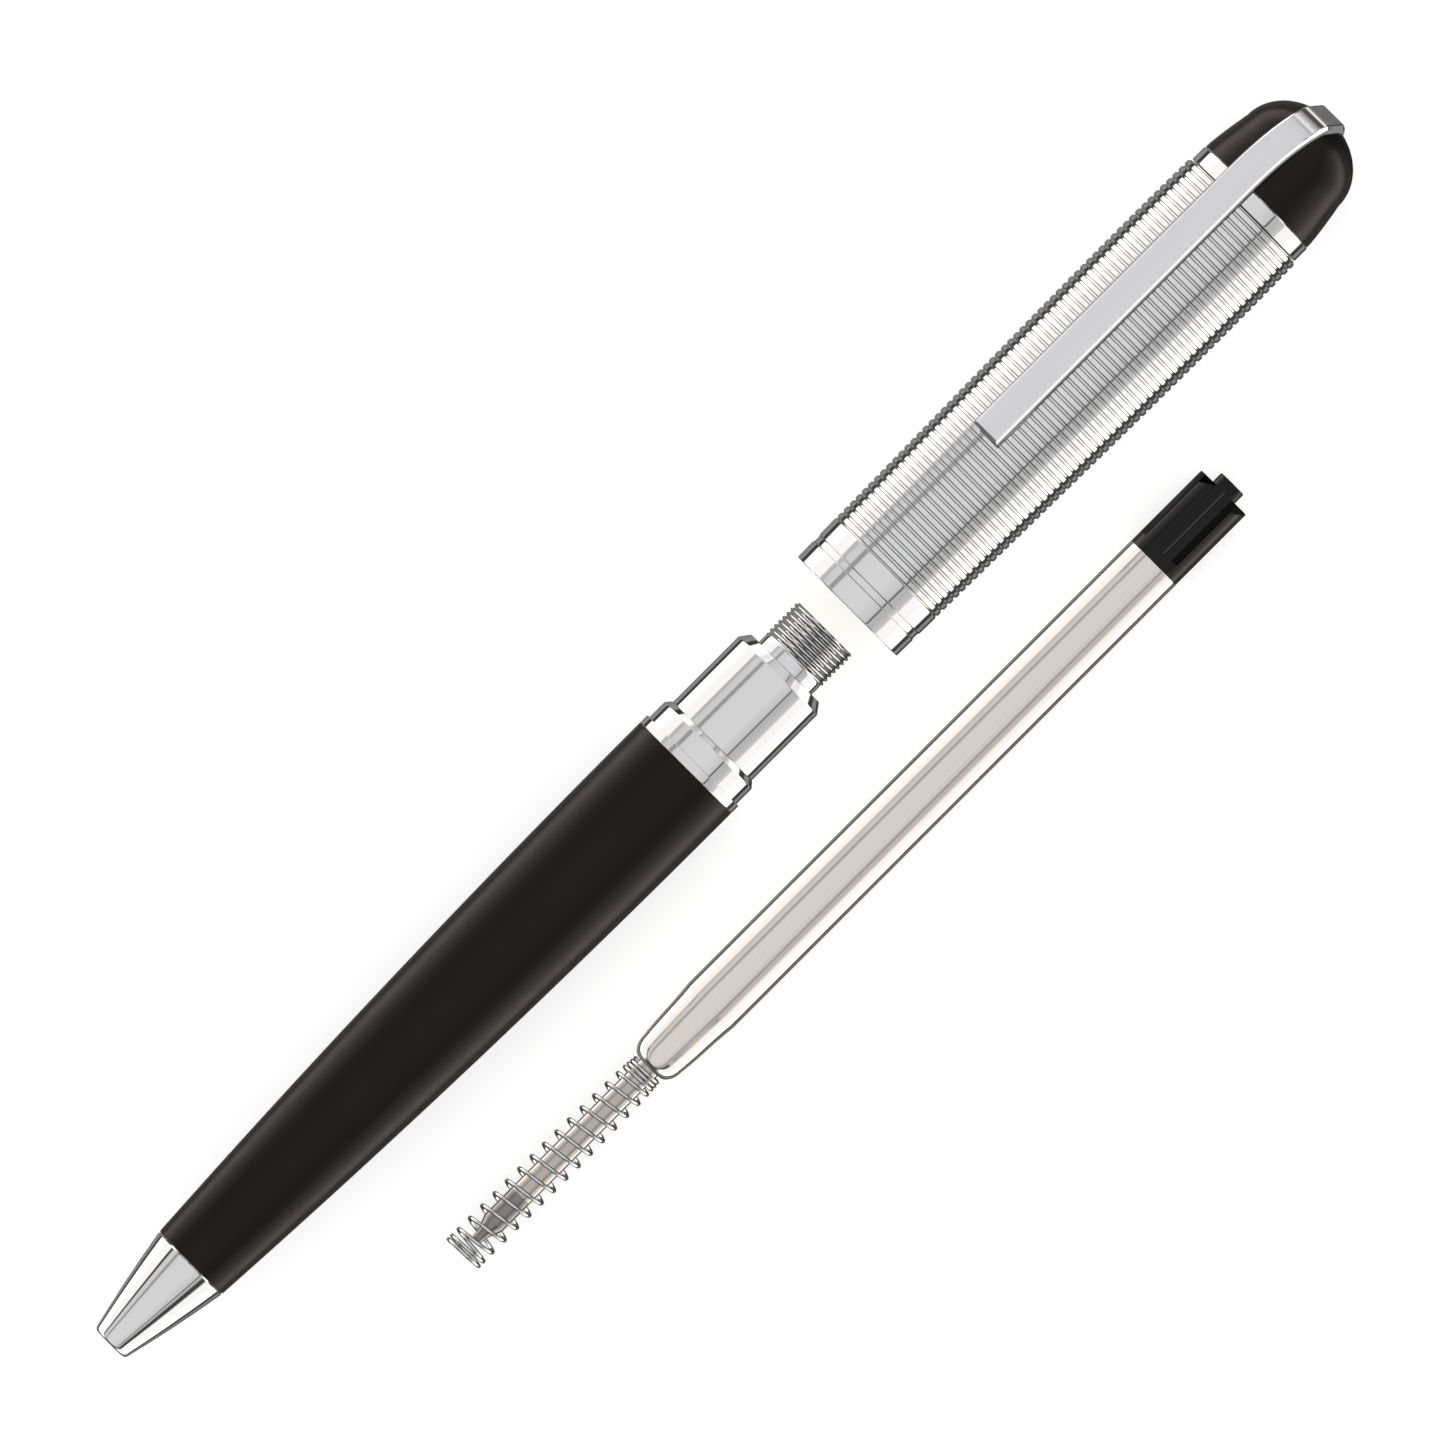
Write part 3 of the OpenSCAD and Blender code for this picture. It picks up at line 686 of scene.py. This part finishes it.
def refill_plug():
    flute_x = PLUG_X + 1.25
    # Section of a flute, as (y, z): a small step beside the ridge, a slope, a steep drop and an upright wall
    flute = ((0, PLUG_R), (-0.06, PLUG_R - 0.09), (-1, 2.38), (-1.66, 0.75), (-1.72, 0.75),
             (-1.72, 2 * PLUG_R), (0, 2 * PLUG_R))
    tooth_depth, tooth_w, tooth_y = 1.1, 1.75, 0.8
    stem_x = PLUG_X - 5
    stem_r = REFILL_R - REFILL_WALL - 0.01
    corners = [(stem_x, 0, 0), (stem_x, stem_r, 0), (PLUG_X, stem_r, 0), (PLUG_X + 0.01, PLUG_R, 0),
               (NUB_X, PLUG_R, 0.12), (NUB_X, NUB_R, 0), (PLUG_END_X, NUB_R, 0.16), (PLUG_END_X, 0, 0)]
    made = lathe("plug", rounded(corners), REFILL, count=120)
    cutters = []
    for quarter in range(4):
        turn = math.pi / 2 * quarter
        cutters.append(prism("flute", flute, flute_x, PLUG_END_X + 3, turn, True))
        ramp_line = [(NUB_X + 1, tooth_y - tooth_w / tooth_depth), (NUB_X - tooth_depth, tooth_y + tooth_w),
                     (NUB_X + 1, tooth_y + tooth_w)]
        cutters.append(prism("tooth", ramp_line, NUB_R + 0.1, NUB_R + 3, turn, False))
    cut(made, *cutters)
    bevel = made.modifiers.new("edges", "BEVEL")
    bevel.width = 0.06 * MM
    bevel.segments = 2
    bevel.limit_method = "ANGLE"
    bevel.angle_limit = math.radians(24)
    bake_modifiers(made)
    place(made, "black_plastic", "refill", "refill_plug")
    paint_flute_shade(made)


def spring():
    wire_r = 0.19
    front_r, rear_r = 2.05, 1.68
    sides, per_turn = 12, 36
    # Pitch of each turn, from the front
    pitches = [0.41, 0.8, 1.55] + [1.6] * 11 + [1.45, 0.84, 0.41, 0.4, 0.38]
    turns = len(pitches)
    lead = 0.1
    steps = round((turns + 2 * lead) * per_turn)
    xs = [0.0]
    for i in range(steps):
        t = (i + 0.5) / per_turn - 0.5 - lead
        low = min(max(math.floor(t), 0), turns - 1)
        high = min(low + 1, turns - 1)
        share = min(max(t - low, 0), 1)
        xs.append(xs[-1] + (pitches[low] * (1 - share) + pitches[high] * share) / per_turn)
    stretch = (COIL_END_X - COIL_X - 2 * wire_r) / xs[-1]
    centres = []
    for i, x in enumerate(xs):
        share = max(i / steps - 0.5, 0) * 2
        r = front_r - wire_r - (front_r - rear_r) * share ** 1.2
        a = math.tau * (i / per_turn - lead)
        centres.append(Vector((COIL_X + wire_r + x * stretch, r * math.cos(a), r * math.sin(a))))
    points, faces = [], []
    for i, c in enumerate(centres):
        along = (centres[min(i + 1, steps)] - centres[max(i - 1, 0)]).normalized()
        out = Vector((0, c.y, c.z)).normalized()
        out = (out - along * out.dot(along)).normalized()
        third = along.cross(out)
        for k in range(sides):
            b = math.tau * k / sides
            p = c + (out * math.cos(b) + third * math.sin(b)) * wire_r
            points.append((p.x, p.y + REFILL[0], p.z + REFILL[1]))
    for i in range(steps):
        for k in range(sides):
            n = (k + 1) % sides
            faces.append((i * sides + k, i * sides + n, (i + 1) * sides + n, (i + 1) * sides + k))
    faces += [list(range(sides)), list(range(steps * sides, (steps + 1) * sides))]
    made = place(mesh_piece("coil", points, faces, 50), "spring_steel", None, "spring")
    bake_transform(made)


nose_cone()
front_barrel()
trim_ring()
turning_sleeve()
threaded_bush()
rear_barrel()
rear_inner_parts()
cap_ring()
finial()
clip()
refill_body()
refill_front()
refill_plug()
spring()

# Inner parts that keep their CAD shape
CAD_FINISHES = {
    "barrel_liner": "brass",
    "coupler": "brass",
    "retaining_ring": "steel",
    "plunger": "ivory_plastic",
    "cross_pin": "steel",
    "cam_sleeve": "brass",
    "cap_bush": "brass",
    "finial_screw": "steel",
    "ink_column": "ink",
}
for name, slot_name in CAD_FINISHES.items():
    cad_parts[name].visible_glossy = False
    for material_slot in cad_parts[name].material_slots:
        material_slot.material = FINISHES[slot_name]


# ---- Floor, light and camera ----


def floor():
    half = 1.5
    corners = [(-half, -half, 0), (half, -half, 0), (half, half, 0), (-half, half, 0)]
    mesh = bpy.data.meshes.new("floor")
    mesh.from_pydata(corners, [], [(0, 1, 2, 3)])
    made = bpy.data.objects.new("floor", mesh)
    bpy.context.scene.collection.objects.link(made)
    made.location.z = -0.02 * MM
    material = bpy.data.materials.new("floor")
    material.use_nodes = True
    shader = material.node_tree.nodes["Principled BSDF"]
    shader.inputs["Base Color"].default_value = (0.86, 0.86, 0.86, 1)
    shader.inputs["Roughness"].default_value = 0.9
    shader.inputs["Specular IOR Level"].default_value = 0
    shader.inputs["Emission Color"].default_value = (1, 1, 1, 1)
    shader.inputs["Emission Strength"].default_value = 0.62
    mesh.materials.append(material)
    made.visible_glossy = False


def studio_light():
    """Light that depends only on its direction.

    A grey ceiling lies over bright walls along the pen, with dark bands under them. Darker strips of the
    ceiling change their strength along the pen, and there are dark and bright patches past its ends.
    """
    full = 2.4
    grey = 0.29
    wall = (0.84, 0.78, 0.73)
    low_wall = (0.43, 0.415, 0.41)
    dark = (0.03, 0.03, 0.03, 1)
    bright = (0.4, 0.39, 0.37, 1)
    world = bpy.data.worlds.new("studio")
    world.use_nodes = True
    tree = world.node_tree
    tree.nodes.clear()
    direction = add(tree, "TexCoord").outputs["Generated"]
    x, y, z = add(tree, "SeparateXYZ", {"Vector": direction}).outputs
    # Degrees round the pen, 0 straight up and positive towards +Y, and the light from there
    bands = (
        (-180, 0.06), (-165, 0.02), (-156, 0.02), (-152, 0.1), (-140, 0.1), (-136, 0.018), (-126, 0.018),
        (-121, wall), (-104, wall), (-92, low_wall), (-69.5, low_wall), (-68.4, grey * 0.9),
        (-50, grey * 0.68), (-45.6, grey * 0.8), (-45, grey * 0.2), (-42.4, grey * 0.2),
        (-41.8, grey * 0.84), (-20, grey), (16, grey), (36, grey * 0.96), (68.4, grey * 0.9),
        (69.5, low_wall), (92, low_wall), (104, wall), (121, wall), (126, 0.018), (136, 0.018), (140, 0.12),
        (180, 0.06))
    turn = math_of(tree, "DIVIDE", math_of(tree, "ARCTAN2", y, z), math.tau)
    turn = math_of(tree, "ADD", turn, 0.5)
    shade = ramp(tree, turn, [((angle + 180) / 360, colour) for angle, colour in bands])
    # Darker strips of the ceiling: degrees round the pen, half width, the two places along the pen between
    # which a strip's strength changes, and its strength before and after them
    strips = (
        (64.5, 5, -0.27, -0.12, 0.9, 0.2),
        (-60, 9.5, -0.27, -0.12, 0.9, 0.04),
        (42, 5.5, 0.2, 0.35, 0.5, 0))
    for angle, half, from_x, to_x, before, after in strips:
        off = math_of(tree, "ABSOLUTE", math_of(tree, "SUBTRACT", turn, 0.5 + angle / 360))
        strip = fade(tree, off, half * 0.5 / 360, half / 360, 1, 0)
        strength = fade(tree, x, from_x, to_x, before, after)
        shade = mix(tree, math_of(tree, "MULTIPLY", strip, strength), shade, BLACK)
    # Patches past the ends: which end along X, the heights between which a patch fades out, its strength,
    # the lowest Y that it reaches, and its colour
    patches = (
        (1, 0, 0.45, 0.15, -1, dark),
        (1, -0.08, 0.12, 1, -1, dark),
        (-1, 0.1, 0.24, 1, -1, dark),
        (1, -0.24, -0.2, 1, 0.08, bright),
        (1, -0.5, -0.44, 1, -1, dark))
    for side, low, high, most, from_y, colour in patches:
        past_end = fade(tree, math_of(tree, "MULTIPLY", x, side), 0.84, 0.94)
        under = fade(tree, z, low, high, most, 0)
        beside = math_of(tree, "GREATER_THAN", y, from_y)
        share = math_of(tree, "MULTIPLY", math_of(tree, "MULTIPLY", past_end, under), beside)
        shade = mix(tree, share, shade, colour)
    background = add(tree, "Background", {"Color": shade, "Strength": full})
    add(tree, "OutputWorld", {"Surface": background.outputs[0]})
    bpy.context.scene.world = world


def camera():
    """Straight above the layout, turned so that the pen points to the lower left."""
    distance, width = 2600, 132
    aim_x, aim_y = 0.5, PEN[0] + 0.55
    data = bpy.data.cameras.new("camera")
    data.sensor_width = 36
    data.lens = data.sensor_width * distance / width
    data.clip_end = 10
    made = bpy.data.objects.new("camera", data)
    made.location = Vector((aim_x, aim_y, PEN[1] + distance)) * MM
    made.rotation_euler = (0, 0, math.radians(-45))
    bpy.context.scene.collection.objects.link(made)
    bpy.context.scene.camera = made


floor()
studio_light()
camera()
bpy.context.scene.view_settings.view_transform = "Standard"
